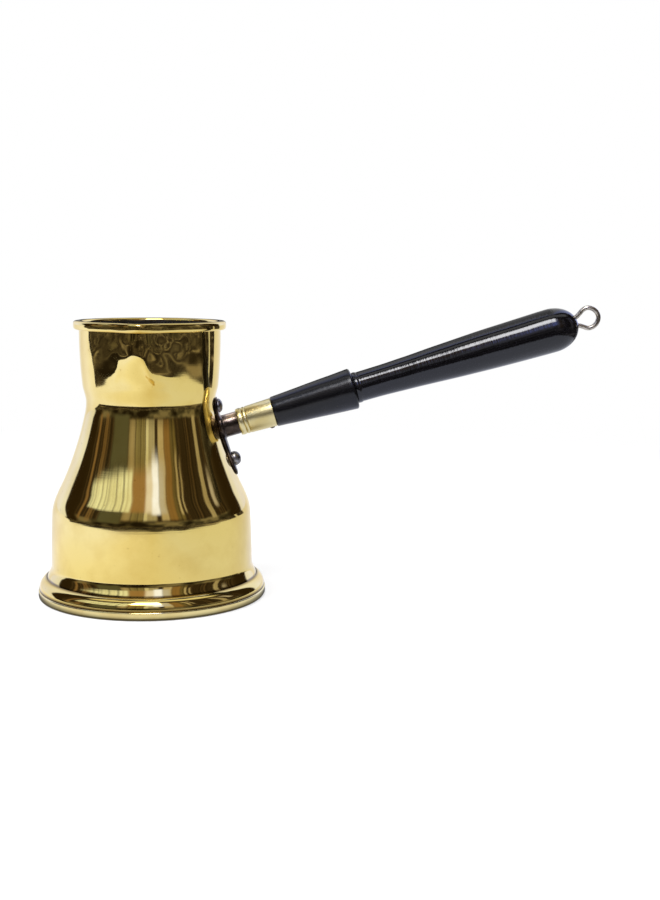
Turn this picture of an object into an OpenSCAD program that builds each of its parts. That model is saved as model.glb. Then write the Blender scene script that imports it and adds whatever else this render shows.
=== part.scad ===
// Long-handled brass coffee pot: a spun body with a moulded foot and a side pouring lip,
// a seamed base, and a riveted bracket that carries a ferruled, turned wooden handle.
// Millimetres. Z is up, the base rests on Z = 0 and the pot's axis is the Z axis.
// The handle leaves the pot along +X and the lip is pressed out of the near side, towards -Y.

/* [Pot body] */
// Thickness of the spun brass sheet
sheet_t = 0.9; // [0.7:0.05:1.2]
// Radius of the upright wall just above the foot
wall_r = 36.2; // [33:0.1:38]
// Height of the upright wall, from the foot to the start of the shoulder
wall_h = 19; // [16:0.5:21]
// How much the upright wall draws in over its height
wall_draft = 0.6; // [0.1:0.05:1]
// Height of the rounded shoulder
shoulder_h = 10.5; // [9.5:0.5:14]
// Radius where the shoulder turns into the hollow flare
flare_r = 31.8; // [30:0.1:33.5]
// Height of the hollow flare
flare_h = 24.5; // [20:0.5:30]
// Radius of the waist, the narrowest place
waist_r = 23; // [20:0.1:25]
// Height of the tight turn from the flare into the waist
waist_turn_h = 4.4; // [3.5:0.1:6]
// How far the foot of the neck stands out past the waist
neck_step = 1.2; // [0.6:0.1:2]
// Height over which the neck swells out of the waist
neck_roll_h = 6.2; // [5:0.1:8]
// Height of the neck, from the swell to the middle of the rim bead
neck_h = 21.1; // [16:0.1:28]
// Outer radius of the neck at the mouth
mouth_r = 25.05; // [24.3:0.05:27]
// Diameter of the bead rolled round the rim
rim_bead_d = 3.2; // [2.6:0.1:3.8]

/* [Foot and base] */
// Height of the moulded foot, up to the upright wall
foot_h = 12; // [11:0.25:16]
// Outer radius of the base, the widest place
base_r = 41; // [40:0.1:44]
// Thickness of the base plate
base_t = 0.8; // [0.6:0.05:1.2]
// Height of the base plate's upturned rim
base_rim_h = 3; // [2.4:0.1:3.6]
// Radius of the rounded edge under the base
base_edge_r = 1; // [0.6:0.05:1.4]
// Diameter of the large bead above the base rim
foot_bead_d = 4.4; // [3.6:0.1:5]
// Height at which the ogee above the bead turns from round to hollow
ogee_turn_h = 9.25; // [8.5:0.05:10]

/* [Pouring lip] */
// Width of the lip's round mouth at the rim
lip_w = 14; // [10:0.2:16]
// How far the lip reaches out past the neck
lip_reach = 4.6; // [3:0.1:6]
// How far down the neck the lip starts
lip_drop = 19; // [14:0.5:20.5]
// Angle from the handle round to the lip
lip_turn = 94; // [80:1:100]

/* [Handle bracket] */
// Height at which the handle's axis leaves the wall
handle_z = 60.8; // [57:0.1:63]
// Upward slope of the handle, in degrees
handle_tilt = 16.4; // [10:0.1:22]
// Thickness of the bracket plate at its middle
plate_t = 1.9; // [1.5:0.05:2.6]
// Thickness left at the plate's two ends
plate_tip_t = 0.5; // [0.3:0.05:0.9]
// Width of the bracket plate round the neck
plate_w = 13; // [12:0.5:18]
// Width of the plate's round ends
plate_end_w = 7.4; // [6.8:0.2:9]
// Height of the bracket plate's lower end
plate_low_z = 43.6; // [41:0.1:45.5]
// Height of the bracket plate's upper end
plate_high_z = 72; // [71:0.1:74]
// Diameter of the round neck that carries the handle
neck_d = 8.2; // [7:0.1:9]
// Length of the neck, from the wall to its end inside the ferrule
neck_l = 12.6; // [11:0.1:14]

/* [Rivets] */
// Height of the lower rivet
lower_rivet_z = 49; // [48:0.1:50.5]
// Height of the upper rivet
upper_rivet_z = 68.6; // [68:0.1:69]
// Diameter of the rivet shank
rivet_d = 3; // [2.4:0.1:3.4]
// Diameter of the domed rivet head
rivet_head_d = 5.2; // [4.6:0.1:6]
// Height of the domed rivet head
rivet_head_h = 2.4; // [1.8:0.1:2.6]
// Diameter of the flattened tail inside the pot
rivet_tail_d = 4.4; // [3.8:0.1:5]
// Thickness of the flattened tail
rivet_tail_h = 0.9; // [0.6:0.1:1.4]

/* [Ferrule] */
// Distance along the handle from the wall to the ferrule
ferrule_s = 6.9; // [6:0.1:8]
// Length of the ferrule
ferrule_l = 13.3; // [12:0.1:16]
// Outer diameter of the ferrule at the pot end
ferrule_d = 9.8; // [9.6:0.1:10.6]
// Outer diameter of the ferrule at the wood end
ferrule_wide_d = 10.4; // [10:0.1:11]
// Length of the first bead on the ferrule
ferrule_bead_l = 2.05; // [1.6:0.05:2.4]
// Length of the second bead on the ferrule
ferrule_bead2_l = 1.35; // [1.1:0.05:1.8]
// Depth of the grooves beside the beads
ferrule_groove = 0.3; // [0.2:0.05:0.4]
// Diameter of the brad's shank
brad_d = 1.2; // [0.9:0.1:1.5]
// Diameter of the brad's head
brad_head_d = 2; // [1.7:0.1:2.4]
// Length of the brad's shank
brad_l = 2.4; // [2:0.1:2.6]
// Distance from the brad to the wood end of the ferrule
brad_back = 1.9; // [1.6:0.1:3]

/* [Wooden handle] */
// Length of the tapered collar
collar_l = 30.4; // [26:0.2:36]
// Diameter of the collar at the ferrule
collar_d = 11; // [10.6:0.1:12]
// Diameter of the collar at its shoulder
collar_wide_d = 15.1; // [13.5:0.1:16]
// Rounding of the collar's shoulder
collar_edge_r = 0.9; // [0.5:0.1:1.2]
// Length of the grip, from the shoulder to its round end
grip_l = 85; // [75:0.5:100]
// Diameter of the grip at its root
grip_d = 10.9; // [10:0.1:12]
// Diameter of the grip where the palm starts
grip_mid_d = 12.7; // [12:0.1:14]
// Diameter of the grip at the palm, its widest place
grip_palm_d = 16.1; // [14.5:0.1:18]
// Length of the grip's round end
grip_end_l = 10; // [9:0.5:14]
// Diameter of the spigot that joins the grip to the collar
spigot_d = 8; // [7:0.1:8.6]
// Length of the spigot
spigot_l = 7; // [5:0.5:10]
// Diameter of the steel tang through the wood
tang_d = 4; // [3.4:0.1:4.6]
// Length of the tang
tang_l = 72; // [66:1:80]
// How far the tang is screwed into the neck
tang_in = 6; // [5:0.1:7]

/* [Hanging loop] */
// Diameter of the loop's wire
wire_d = 1.7; // [1.4:0.05:2]
// Radius of the loop, to the middle of the wire
loop_r = 3.65; // [3.3:0.05:4.5]
// Distance from the end of the grip to the middle of the loop
loop_out = 4.3; // [4:0.1:5]
// How far the loop sits above the grip's axis
loop_rise = 0.7; // [0:0.1:1]
// Length of the loop's legs inside the wood
leg_l = 13; // [10:0.5:18]

/* [Hidden] */
$fn = 96;

// Clearance of a soldered or slipped fit, and of the bracket on the wall
fit = 0.05;
seat = 0.05;
// Overshoot that keeps a cut from ending on the face it opens
over = 1;
// Steps along one span of a curve, and along a small arc
span_steps = 8;
arc_steps = 8;
// Half of the distance over which a slope is read off a curve
probe = 0.05;
brass = "#d9b75a";
dark_bronze = "#3a2a1e";
dull_steel = "#6e6c69";
bright_steel = "#c9c9c4";
black_wood = "#17161a";

// ---- curves ---------------------------------------------------------------------------

// A smooth curve through stations [distance, radius, slope], read at one distance
function span(stations, s, i = 0) =
    i >= len(stations) - 2 || s <= stations[i + 1][0] ? i : span(stations, s, i + 1);
function hermite(a, b, s) =
    let (h = b[0] - a[0], t = (s - a[0]) / h, u = 1 - t)
    (1 + 2 * t) * u * u * a[1] + t * u * u * h * a[2]
    + t * t * (3 - 2 * t) * b[1] - t * t * u * h * b[2];
function radius_at(stations, s) =
    let (i = span(stations, s)) hermite(stations[i], stations[i + 1], s);
function slope_at(stations, s) =
    (radius_at(stations, s + probe) - radius_at(stations, s - probe)) / (2 * probe);
// The distances at which a curve is drawn
function marks(stations) = concat(
    [for (i = [0 : len(stations) - 2], k = [0 : span_steps - 1])
        stations[i][0] + (stations[i + 1][0] - stations[i][0]) * k / span_steps],
    [stations[len(stations) - 1][0]]);
function arc(centre, r, from, to, steps = arc_steps) =
    [for (k = [0 : steps]) let (a = from + (to - from) * k / steps)
        centre + r * [cos(a), sin(a)]];
function bend(a, corner, b, steps = arc_steps) =
    [for (k = [0 : steps]) let (t = k / steps, u = 1 - t)
        u * u * a + 2 * t * u * corner + t * t * b];
// Height of a bow: how far a circle of radius big falls away over half a chord
function bow(half_chord, big) = big - sqrt(big * big - half_chord * half_chord);

// ---- the pot's profile ------------------------------------------------------------------

shoulder_z = foot_h + wall_h;
flare_z = shoulder_z + shoulder_h;
throat_z = flare_z + flare_h;
waist_z = throat_z + waist_turn_h;
neck_z = waist_z + neck_roll_h;
rim_z = neck_z + neck_h;
// How far the end of the flare stands out past the waist
throat_step = 0.5;
// Slopes of the wall at its stations, radius over height
foot_slope = -0.02;
shoulder_slope = -0.06;
flare_slope = -0.47;
throat_slope = -0.22;
neck_slope = 0.1;
mouth_slope = -0.02;
wall = [
    [foot_h, wall_r, foot_slope],
    [shoulder_z, wall_r - wall_draft, shoulder_slope],
    [flare_z, flare_r, flare_slope],
    [throat_z, waist_r + throat_step, throat_slope],
    [waist_z, waist_r, 0],
    [neck_z, waist_r + neck_step, neck_slope],
    [rim_z, mouth_r, mouth_slope],
];
function wall_at(z) = radius_at(wall, z);
// Outward lean of the wall's normal above the horizontal
function lean_at(z) = atan(-slope_at(wall, z));
wall_outside = [for (z = marks(wall)) [wall_at(z), z]];
wall_inside = [for (z = marks(wall)) let (a = lean_at(z))
    [wall_at(z) - sheet_t * cos(a), z - sheet_t * sin(a)]];
mouth_in_r = mouth_r - sheet_t;

// ---- the foot's profile -----------------------------------------------------------------

skirt_r = base_r - base_t - fit;
foot_bead_r = foot_bead_d / 2;
// Angles at which the large bead leaves the skirt and meets the ogee
bead_from = -39;
bead_to = 76;
foot_bead = [skirt_r - foot_bead_r * cos(bead_from), base_rim_h - foot_bead_r * sin(bead_from)];
groove = foot_bead + foot_bead_r * [cos(bead_to), sin(bead_to)];
// The ogee leans most at its turn, by this much more than it does on average
ogee_steepness = 2.1;
ogee_out = groove[0] - wall_r;
ogee = [
    [groove[1], groove[0], -0.1],
    [ogee_turn_h, wall_r + ogee_out / 2, -ogee_steepness * ogee_out / (foot_h - groove[1])],
    [foot_h, wall_r, foot_slope],
];
ogee_marks = [for (k = [1 : 2 * span_steps - 1]) marks(ogee)[k]];
foot_outside = concat(
    [[skirt_r, base_t]],
    arc(foot_bead, foot_bead_r, bead_from, bead_to),
    [for (z = ogee_marks) [radius_at(ogee, z), z]]);
// One sheet further in, level with each point of the ogee
function inside_ogee(z) = radius_at(ogee, z) - sheet_t * norm([1, slope_at(ogee, z)]);
foot_inside = concat(
    [[skirt_r - sheet_t, base_rim_h]],
    arc(foot_bead, foot_bead_r - sheet_t, bead_from, bead_to),
    [for (z = ogee_marks) [inside_ogee(z), z]]);
// The sheet runs on into the rim bead by this much
into_bead = 0.5;
skin = concat(foot_outside, wall_outside, [[mouth_r, rim_z + into_bead]]);
cavity = concat(foot_inside, wall_inside);

// ---- pouring lip ------------------------------------------------------------------------

lip_r = lip_w / 2;
// The cone's point lies in the middle of the sheet, so that it leaves the wall at an angle
lip_low = [wall_at(rim_z - lip_drop) - sheet_t / 2, rim_z - lip_drop];
lip_mouth = [mouth_r + lip_reach - lip_r, rim_z];
lip_axis_l = norm(lip_mouth - lip_low);
lip_lean = atan2(lip_mouth[0] - lip_low[0], lip_drop);
lip_half_angle = atan(lip_r / lip_axis_l);
// Pushing the cone's point up its axis by this much thins it all round by one sheet
lip_inset = sheet_t / sin(lip_half_angle);

// ---- the handle's line ------------------------------------------------------------------

handle_out = wall_at(handle_z);
neck_r = neck_d / 2;
tang_r = tang_d / 2;
ferrule_bore_r = neck_r + fit;
collar_s = ferrule_s + ferrule_l;
grip_s = collar_s + collar_l;
grip_end_s = grip_s + grip_l;
tang_s = neck_l - tang_in;
tenon_s = neck_l + 2 * fit;
// Wood left between the two holes for the loop's legs
leg_web = 0.2;
leg_gap = wire_d + 2 * fit + leg_web;

// Places its children on the handle's axis, s along it from the wall; local X points down
module along_handle(s) {
    translate([handle_out, 0, handle_z]) rotate([0, 90 - handle_tilt, 0]) translate([0, 0, s])
        children();
}

// Places its children on the wall at height z, on the handle's side, with Z along the normal
module on_wall(z) {
    translate([wall_at(z), 0, z]) rotate([0, 90 - lean_at(z), 0]) children();
}

// Places its children on the side of the pot that the lip is on, with X pointing outwards
module lip_side() {
    rotate([0, 0, -lip_turn]) children();
}

// A solid turned from [radius, height] points and closed along the axis, flat at the bottom
// and flat at the top too, unless it runs up to a point at top_z
module turned(points, top_z = undef) {
    last_z = points[len(points) - 1][1];
    rotate_extrude() polygon(concat([[0, points[0][1]]], points,
                                    [[0, is_undef(top_z) ? last_z : top_z]]));
}

// ---- pot body ---------------------------------------------------------------------------

// The lip's cone, with its point moved up the axis by inset
module lip_cone(inset) {
    long = lip_axis_l + 2 * rim_bead_d;
    lip_side() translate([lip_low[0], 0, lip_low[1]]) rotate([0, lip_lean, 0])
        translate([0, 0, inset]) cylinder(h = long - inset, r1 = 0,
            r2 = (long - inset) * tan(lip_half_angle));
}

module below(z) {
    intersection() {
        children();
        cylinder(h = z, r = 2 * base_r);
    }
}

module ring(r, tube_r) {
    rotate_extrude() translate([r, 0]) circle(r = tube_r, $fn = 48);
}

rim_bead_r = rim_bead_d / 2;
// The hollow of the pot trims this much off the inside of both beads
rim_bead_trim = 0.3;
rim_bead_out = rim_bead_r - sheet_t - rim_bead_trim;
// Pressing the lip stretches its bead: it sits a little lower and is a little slimmer
lip_bead_dip = 0.2;
lip_bead_r = rim_bead_r - 0.08;

module rim_bead() {
    translate([0, 0, rim_z]) ring(mouth_r + rim_bead_out, rim_bead_r);
    lip_side() translate([lip_mouth[0], 0, rim_z - lip_bead_dip])
        ring(lip_r + rim_bead_out, lip_bead_r);
}

module rivet_hole(z) {
    on_wall(z) translate([0, 0, -2 * sheet_t - over])
        cylinder(h = 4 * sheet_t + plate_t + 2 * over, r = rivet_d / 2 + fit, $fn = 48);
}

module pot_body() {
    color(brass) difference() {
        union() {
            turned(skin);
            below(rim_z + into_bead / 2) lip_cone(0);
            rim_bead();
        }
        turned(concat([[skirt_r - sheet_t, -over]], cavity,
                      [[mouth_in_r, rim_z + rim_bead_d]]));
        lip_cone(lip_inset);
        rivet_hole(lower_rivet_z);
        rivet_hole(upper_rivet_z);
    }
}

module base_plate() {
    edge = [base_r - base_edge_r, base_edge_r];
    inner_edge_r = max(base_edge_r - base_t, fit);
    // Height of the rounded top of the upturned rim
    rim_top_r = base_t / 2;
    color(brass) rotate_extrude() polygon(concat(
        [[0, 0]],
        arc(edge, base_edge_r, -90, 0),
        arc([base_r - rim_top_r, base_rim_h - rim_top_r], rim_top_r, 0, 90),
        [[base_r - base_t, base_rim_h], [base_r - base_t, base_t], [0, base_t]]));
}

// ---- bracket and rivets -----------------------------------------------------------------

plate_l = plate_high_z - plate_low_z;
plate_mid_z = (plate_high_z + plate_low_z) / 2;
plate_marks = [for (k = [0 : 2 * span_steps]) plate_low_z + plate_l * k / (2 * span_steps)];

// The plate is thickest at the middle and thins towards both ends
function plate_t_at(z) = let (u = 2 * (z - plate_mid_z) / plate_l)
    plate_tip_t + (plate_t - plate_tip_t) * (1 - u * u);
// Half width of the plate, at a distance from its nearer end: a round end, then a swell
function plate_half_w(from_end) = let (e = plate_end_w / 2, whole = plate_l / 2)
    from_end < e ? sqrt(max(0, e * e - pow(e - from_end, 2)))
                 : e + (plate_w / 2 - e) * pow(sin(90 * (from_end - e) / (whole - e)), 2);

// Distances from the lower end, closer together round the ends
plate_rows = [for (k = [0 : 4 * arc_steps]) plate_l * (1 - cos(180 * k / (4 * arc_steps))) / 2];

module plate_outline() {
    side = [for (d = plate_rows) [plate_half_w(min(d, plate_l - d)), plate_low_z + d]];
    polygon(concat(side, [for (k = [len(side) - 2 : -1 : 1]) [-side[k][0], side[k][1]]]));
}

module bracket_plate() {
    intersection() {
        rotate_extrude() polygon(concat(
            [for (z = plate_marks) [wall_at(z) - sheet_t, z]],
            [for (k = [len(plate_marks) - 1 : -1 : 0]) let (z = plate_marks[k])
                [wall_at(z) + seat + plate_t_at(z), z]]));
        rotate([90, 0, 90]) linear_extrude(2 * base_r) plate_outline();
    }
}

// Height of the flat that each rivet head seats on, along the wall's normal
function rivet_seat(z) = seat + 0.8 * plate_t_at(z);

module rivet_spot(z) {
    on_wall(z) translate([0, 0, rivet_seat(z)])
        cylinder(h = 2 * plate_t, r = rivet_head_d / 2 + fit, $fn = 48);
}

module handle_bracket() {
    // Casting fillet where the neck leaves the plate
    fillet = 1.4;
    color(dark_bronze) difference() {
        union() {
            bracket_plate();
            along_handle(-sheet_t) cylinder(h = neck_l + sheet_t, r = neck_r);
            along_handle(0) cylinder(h = plate_t, r = neck_r + fillet);
            along_handle(plate_t) cylinder(h = fillet, r1 = neck_r + fillet, r2 = neck_r);
        }
        turned([for (z = marks(wall)) [wall_at(z) + seat, z]]);
        along_handle(tang_s - fit) cylinder(h = tang_in + over, r = tang_r + fit);
        rivet_hole(lower_rivet_z);
        rivet_hole(upper_rivet_z);
        rivet_spot(lower_rivet_z);
        rivet_spot(upper_rivet_z);
    }
}

// A domed rivet: head on the bracket, shank through the wall, tail flattened inside
module rivet(z) {
    head_r = rivet_head_d / 2;
    dome_r = (head_r * head_r + rivet_head_h * rivet_head_h) / (2 * rivet_head_h);
    tail_r = rivet_tail_d / 2;
    tail_gap = fit + bow(tail_r, wall_at(z) - 2 * sheet_t);
    color(dull_steel) on_wall(z) {
        translate([0, 0, rivet_seat(z)]) intersection() {
            translate([0, 0, rivet_head_h - dome_r]) sphere(r = dome_r);
            cylinder(h = rivet_head_h + over, r = rivet_head_d);
        }
        translate([0, 0, -sheet_t - tail_gap - rivet_tail_h / 2])
            cylinder(h = sheet_t + tail_gap + rivet_tail_h / 2 + rivet_seat(z) + rivet_head_h / 2,
                     r = rivet_d / 2, $fn = 48);
        translate([0, 0, -sheet_t - tail_gap - rivet_tail_h])
            cylinder(h = rivet_tail_h, r1 = tail_r * 0.8, r2 = tail_r, $fn = 48);
    }
}

module upper_rivet() { rivet(upper_rivet_z); }
module lower_rivet() { rivet(lower_rivet_z); }

// ---- handle -----------------------------------------------------------------------------

module handle_tang() {
    color(dull_steel) along_handle(tang_s) cylinder(h = tang_l, r = tang_r);
}

// One bead of the ferrule, from a groove at one end to a groove at the other
function ferrule_bead(from, long) =
    [for (k = [0 : arc_steps]) let (t = k / arc_steps)
        [ferrule_d / 2 - ferrule_groove * (1 - sqrt(sin(180 * t))), from + long * t]];

module ferrule() {
    beads_l = ferrule_bead_l + ferrule_bead2_l;
    // Rounding of the tube's two edges
    edge = 0.2;
    color(brass) difference() {
        along_handle(ferrule_s) rotate_extrude() polygon(concat(
            [[ferrule_bore_r, 0]],
            ferrule_bead(0, ferrule_bead_l),
            ferrule_bead(ferrule_bead_l, ferrule_bead2_l),
            [[ferrule_d / 2, beads_l + edge], [ferrule_wide_d / 2, ferrule_l - edge],
             [ferrule_wide_d / 2 - edge, ferrule_l], [ferrule_bore_r, ferrule_l]]));
        brad_hole();
    }
}

brad_s = collar_s - brad_back;
brad_seat_r = ferrule_wide_d / 2 - ferrule_groove;

// The brad goes in from below, square to the handle
module on_brad() {
    along_handle(brad_s) rotate([0, 90, 0]) children();
}

module brad_hole() {
    on_brad() {
        translate([0, 0, brad_seat_r - brad_l - fit])
            cylinder(h = 2 * brad_l, r = brad_d / 2 + fit, $fn = 32);
        translate([0, 0, brad_seat_r]) cylinder(h = brad_l, r = brad_head_d / 2 + fit, $fn = 32);
    }
}

module ferrule_brad() {
    head_r = brad_head_d / 2;
    // The head stands this far proud of its seat
    head_h = 0.75;
    dome_r = (head_r * head_r + head_h * head_h) / (2 * head_h);
    color(brass) on_brad() {
        translate([0, 0, brad_seat_r - brad_l]) cylinder(h = brad_l + head_h / 2, r = brad_d / 2, $fn = 32);
        translate([0, 0, brad_seat_r]) intersection() {
            translate([0, 0, head_h - dome_r]) sphere(r = dome_r, $fn = 48);
            cylinder(h = 2 * head_h, r = brad_head_d, $fn = 32);
        }
    }
}

module handle_collar() {
    // Gap that lets the collar close on the ferrule and the grip on the collar
    socket_end = collar_l - spigot_l - 2 * fit;
    color(black_wood) difference() {
        union() {
            along_handle(collar_s) turned(concat(
                [[collar_d / 2 - collar_edge_r / 2, 0], [collar_d / 2, collar_edge_r / 2]],
                arc([collar_wide_d / 2 - collar_edge_r, collar_l - collar_edge_r],
                    collar_edge_r, 0, 90)));
            along_handle(tenon_s) cylinder(h = collar_s - tenon_s + over, r = ferrule_bore_r - fit);
        }
        along_handle(tenon_s - over) cylinder(h = collar_l + ferrule_l, r = tang_r + fit);
        along_handle(collar_s + socket_end)
            cylinder(h = spigot_l + over, r = spigot_d / 2 + fit);
        brad_hole();
    }
}

grip_root_bead_l = 1.9;
grip_root_bead_h = 0.25;
grip_mid_s = 28;
grip_palm_s = grip_l - grip_end_l;
grip_side = [
    [grip_root_bead_l, grip_d / 2, 0],
    [grip_mid_s, grip_mid_d / 2, 0.054],
    [grip_palm_s, grip_palm_d / 2, 0.01],
];

module handle_grip() {
    color(black_wood) difference() {
        union() {
            along_handle(grip_s) turned(concat(
                [for (k = [0 : arc_steps]) let (t = k / arc_steps)
                    [grip_d / 2 + grip_root_bead_h * sqrt(sin(180 * t)), grip_root_bead_l * t]],
                [for (s = marks(grip_side)) [radius_at(grip_side, s), s]],
                [for (k = [1 : 2 * arc_steps - 1]) let (a = 90 * k / (2 * arc_steps))
                    [grip_palm_d / 2 * cos(a), grip_palm_s + grip_end_l * sin(a)]]), grip_l);
            along_handle(grip_s - spigot_l) cylinder(h = spigot_l + over, r = spigot_d / 2);
        }
        along_handle(grip_s - spigot_l - over)
            cylinder(h = tang_s + tang_l - grip_s + spigot_l + over + 2 * fit, r = tang_r + fit);
        for (side = [-1, 1])
            along_handle(grip_end_s - leg_l - 2 * fit) translate([side * leg_gap / 2 - loop_rise, 0, 0])
                cylinder(h = leg_l + 2 * over, r = wire_d / 2 + fit, $fn = 32);
    }
}

// ---- hanging loop -----------------------------------------------------------------------

// The wire's line in the loop's own plane [across, along]: the two legs run side by side out
// of the wood, part at its surface and meet the ring where they touch it without a corner
part_x = leg_gap / 2;
loop_aim = atan2(part_x, loop_out);
loop_touch = loop_aim + acos(loop_r / norm([part_x, loop_out]));
loop_sides = 12;
loop_ring_steps = 28;
// Length of leg over which the bend at the wood's surface begins
bend_l = 1;
function on_loop(a) = [loop_r * sin(a), loop_out - loop_r * cos(a)];
half_leg = concat([[part_x, -leg_l]], bend([part_x, -bend_l], [part_x, 0],
    on_loop(loop_touch) * bend_l / norm(on_loop(loop_touch)) + [part_x / 2, 0], 4));
loop_line = concat(
    half_leg,
    [for (k = [0 : loop_ring_steps])
        on_loop(loop_touch + (360 - 2 * loop_touch) * k / loop_ring_steps)],
    [for (k = [len(half_leg) - 1 : -1 : 0]) [-half_leg[k][0], half_leg[k][1]]]);

// A round wire drawn along a line that lies in the XZ plane
module wire_along(line, r, sides) {
    last = len(line) - 1;
    rings = [for (i = [0 : last])
        let (d = line[min(i + 1, last)] - line[max(i - 1, 0)], n = [d[1], -d[0]] / norm(d))
        for (k = [0 : sides - 1]) let (a = 360 * k / sides)
            [line[i][0] + r * cos(a) * n[0], r * sin(a), line[i][1] + r * cos(a) * n[1]]];
    polyhedron(rings, concat(
        [[for (k = [0 : sides - 1]) k]],
        [for (i = [0 : last - 1], k = [0 : sides - 1]) let (m = (k + 1) % sides)
            [i * sides + k, (i + 1) * sides + k, (i + 1) * sides + m, i * sides + m]],
        [[for (k = [sides - 1 : -1 : 0]) last * sides + k]]));
}

module hanging_loop() {
    color(bright_steel) along_handle(grip_end_s) translate([-loop_rise, 0, 0])
        wire_along(loop_line, wire_d / 2, loop_sides);
}

pot_body();
base_plate();
handle_bracket();
upper_rivet();
lower_rivet();
handle_tang();
ferrule();
ferrule_brad();
handle_collar();
handle_grip();
hanging_loop();
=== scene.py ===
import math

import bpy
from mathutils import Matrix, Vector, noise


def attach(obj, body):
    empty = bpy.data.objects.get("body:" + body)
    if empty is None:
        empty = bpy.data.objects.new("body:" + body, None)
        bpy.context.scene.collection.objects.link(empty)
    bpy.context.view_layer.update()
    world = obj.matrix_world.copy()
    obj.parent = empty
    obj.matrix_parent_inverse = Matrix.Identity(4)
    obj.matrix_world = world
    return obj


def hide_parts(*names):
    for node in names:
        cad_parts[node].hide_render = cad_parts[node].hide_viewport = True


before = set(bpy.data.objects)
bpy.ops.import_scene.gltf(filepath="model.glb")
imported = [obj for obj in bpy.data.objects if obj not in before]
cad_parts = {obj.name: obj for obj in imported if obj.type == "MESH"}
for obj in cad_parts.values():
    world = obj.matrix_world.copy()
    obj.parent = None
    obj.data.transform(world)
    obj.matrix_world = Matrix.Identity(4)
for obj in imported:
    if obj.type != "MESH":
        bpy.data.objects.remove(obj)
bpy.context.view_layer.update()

# A long-handled brass coffee pot, dressed over its CAD frame. Lengths in the model are
# millimetres until they are given to Blender, which works in metres. Z is up, the pot's axis
# is the Z axis, the handle leaves along +X and the pouring lip is pressed out towards -Y.

MM = 0.001
Y, Z = Vector((0, 1, 0)), Vector((0, 0, 1))
TAU = 2 * math.pi

# ---- sizes of the pot, as in its source unless a comment says that they are drawn otherwise

SHEET = 0.9
FOOT_H, WALL_R, WALL_H, WALL_DRAFT = 12, 36.2, 19, 0.6
SHOULDER_H, FLARE_R, FLARE_H = 10.5, 31.8, 24.5
WAIST_R, WAIST_TURN_H, NECK_STEP, NECK_ROLL_H = 23, 4.4, 1.2, 6.2
NECK_H, MOUTH_R, RIM_BEAD_R, RIM_BEAD_OUT = 21.1, 25.05, 1.6, 0.4
BASE_R, BASE_T, BASE_RIM_H, BASE_EDGE_R = 41, 0.8, 3, 1
RIM_BEAD_FROM, RIM_BEAD_TO, RIM_BEAD_STEP = -115, 165, 10
# The foot is drawn fuller than the solid's: a flat roll turned in sharply on top, and over it a
# shallower ogee
OGEE_TURN_H, OGEE_TURN_SHARE, OGEE_COVE_H, OGEE_COVE_OUT = 9, 0.55, 10.7, 0.2
BEAD_R, BEAD_OUT, BEAD_Z, BEAD_TOP, BEAD_STEP = 4.5, 0.55, 3.3, 66, 0.4
BEAD_LIP_R, BEAD_LIP_FROM, BEAD_LIP_TO = 0.3, 74, 115
LIP_REACH, LIP_DROP, LIP_TURN = 4.6, 19, 94

HANDLE_Z, HANDLE_TILT = 60.8, 16.4
# The casting is drawn lighter than the solid: slimmer and narrower in its middle, with a rounded
# border and a smaller fillet round its neck
PLATE_T, PLATE_TIP_T, PLATE_W, PLATE_END_W = 1.2, 0.75, 9.4, 7.4
PLATE_BORDER_SHARE, PLATE_END_ROUND, CASTING_GRAIN = 0.35, 1.2, 0.16
PLATE_LOW_Z, PLATE_HIGH_Z = 43.6, 72
NECK_D, NECK_L, NECK_FILLET, NECK_SUNK, NECK_EDGE = 8.2, 12.6, 0.6, 0.35, 0.3
LOWER_RIVET_Z, UPPER_RIVET_Z = 49, 68.6
# The rivets' heads are drawn as they were hammered: the upper one flatter, the lower one high
RIVET_D, RIVET_HEAD_D, UPPER_HEAD_H, LOWER_HEAD_H = 3, 5.2, 1.8, 2.9
RIVET_TAIL_D, RIVET_TAIL_H = 4.4, 0.9
FERRULE_S, FERRULE_L, FERRULE_D, FERRULE_WIDE_D = 6.9, 13.3, 9.8, 10.4
FERRULE_BEADS, FERRULE_GROOVE = (2.05, 1.35), 0.3
BRAD_D, BRAD_HEAD_D, BRAD_HEAD_H, BRAD_L, BRAD_BACK = 1.2, 2, 0.75, 2.4, 1.9
COLLAR_L, COLLAR_D, COLLAR_WIDE_D, COLLAR_EDGE = 30.4, 11, 15.1, 0.9
GRIP_L, GRIP_D, GRIP_MID_D, GRIP_PALM_D, GRIP_END_L = 85, 10.9, 12.7, 16.1, 10
GRIP_MID_S, GRIP_ROOT_L, GRIP_ROOT_H = 28, 1.9, 0.25
SPIGOT_D, SPIGOT_L = 8, 7
TANG_D, TANG_L, TANG_IN = 4, 72, 6
WIRE_R, LOOP_R, LOOP_OUT, LOOP_RISE, LEG_L, LEG_GAP = 0.85, 3.65, 4.3, 0.7, 13, 2
FIT, SEAT = 0.05, 0.05


# ---- curves that the shapes follow ------------------------------------------------------

def hermite(a, b, s):
    """Radius at s on the smooth curve between stations (distance, radius, slope) a and b."""
    h = b[0] - a[0]
    t = (s - a[0]) / h
    u = 1 - t
    return ((1 + 2 * t) * u * u * a[1] + t * u * u * h * a[2]
            + t * t * (3 - 2 * t) * b[1] - t * t * u * h * b[2])


def radius_at(stations, s):
    i = 0
    while i < len(stations) - 2 and s > stations[i + 1][0]:
        i += 1
    return hermite(stations[i], stations[i + 1], s)


def slope_at(stations, s):
    return (radius_at(stations, s + 0.05) - radius_at(stations, s - 0.05)) / 0.1


def marks(stations, steps):
    """Distances along the stations, steps of them to a span."""
    found = []
    for a, b in zip(stations, stations[1:]):
        found += [a[0] + (b[0] - a[0]) * k / steps for k in range(steps)]
    return found + [stations[-1][0]]


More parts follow.
